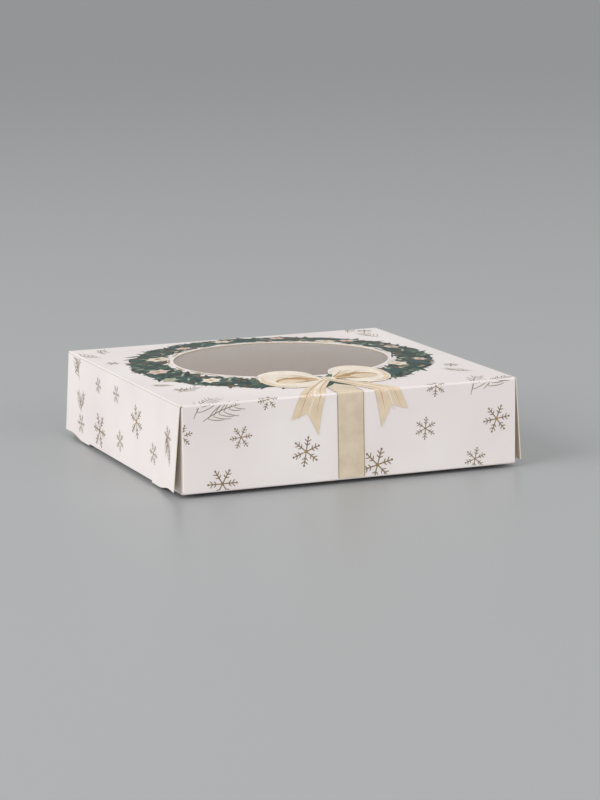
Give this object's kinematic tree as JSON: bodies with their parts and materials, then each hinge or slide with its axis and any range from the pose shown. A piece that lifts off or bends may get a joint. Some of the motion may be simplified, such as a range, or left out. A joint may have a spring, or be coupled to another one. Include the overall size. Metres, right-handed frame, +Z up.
{
  "type": "sweet box",
  "caption": "Flat square folding-board sweet box with tuck-in end closures, dust flaps and a round filmed window in the top.",
  "frame": {"origin": "middle of the flat patch under the bottom panel, on the surface that the box stands on", "axes": "+X to the right along the front panel, +Y from the front to the back, +Z up"},
  "size_m": [0.1572, 0.15, 0.0414],
  "materials": {
    "printed_board": "satin coated board with a printed pattern",
    "plain_board": "coated outside, uncoated inside",
    "clear_film": "clear gloss film",
    "glue": "dried glue"
  },
  "bodies": {
    "sleeve": {"top_panel": "printed_board", "front_panel": "printed_board", "bottom_panel": "plain_board", "back_panel": "printed_board", "seam_flap": "plain_board", "seam_glue": "glue", "window_film": "clear_film", "film_glue": "glue"},
    "left_closure": {"left_closure": "printed_board"},
    "left_tuck_tab": {"left_tuck_tab": "printed_board"},
    "left_front_dust_flap": {"left_front_dust_flap": "printed_board"},
    "left_back_dust_flap": {"left_back_dust_flap": "printed_board"},
    "right_closure": {"right_closure": "printed_board"},
    "right_tuck_tab": {"right_tuck_tab": "printed_board"},
    "right_front_dust_flap": {"right_front_dust_flap": "printed_board"},
    "right_back_dust_flap": {"right_back_dust_flap": "printed_board"}
  },
  "joints": [
    {"name": "left_closure_hinge", "type": "hinge", "parent": "sleeve", "child": "left_closure", "pos_m": [-0.0754, 0, 0.03825], "axis": [0, 1, 0], "range_deg": [0, 120]},
    {"name": "left_tab_fold", "type": "hinge", "parent": "left_closure", "child": "left_tuck_tab", "pos_m": [-0.07685, 0, 0.00205], "axis": [0, 1, 0], "range_deg": [0, 24]},
    {"name": "left_front_dust_fold", "type": "hinge", "parent": "sleeve", "child": "left_front_dust_flap", "pos_m": [-0.0746, -0.0746, 0.02], "axis": [0, 0, 1], "range_deg": [0, 39.6]},
    {"name": "left_back_dust_fold", "type": "hinge", "parent": "sleeve", "child": "left_back_dust_flap", "pos_m": [-0.0746, 0.0746, 0.02], "axis": [0, 0, -1], "range_deg": [0, 39.6]},
    {"name": "right_closure_hinge", "type": "hinge", "parent": "sleeve", "child": "right_closure", "pos_m": [0.0754, 0, 0.03825], "axis": [0, -1, 0], "range_deg": [0, 120]},
    {"name": "right_tab_fold", "type": "hinge", "parent": "right_closure", "child": "right_tuck_tab", "pos_m": [0.07666, 0, 0.00205], "axis": [0, -1, 0], "range_deg": [0, 24]},
    {"name": "right_front_dust_fold", "type": "hinge", "parent": "sleeve", "child": "right_front_dust_flap", "pos_m": [0.0746, -0.0746, 0.02], "axis": [0, 0, -1], "range_deg": [0, 39.6]},
    {"name": "right_back_dust_fold", "type": "hinge", "parent": "sleeve", "child": "right_back_dust_flap", "pos_m": [0.0746, 0.0746, 0.02], "axis": [0, 0, 1], "range_deg": [0, 39.6]}
  ],
  "couplings": [
    {"joint": "left_tab_fold", "follows": "left_closure_hinge", "ratio": 0.2},
    {"joint": "left_front_dust_fold", "follows": "left_closure_hinge", "ratio": 0.33},
    {"joint": "left_back_dust_fold", "follows": "left_closure_hinge", "ratio": 0.33},
    {"joint": "right_tab_fold", "follows": "right_closure_hinge", "ratio": 0.2},
    {"joint": "right_front_dust_fold", "follows": "right_closure_hinge", "ratio": 0.33},
    {"joint": "right_back_dust_fold", "follows": "right_closure_hinge", "ratio": 0.33}
  ]
}
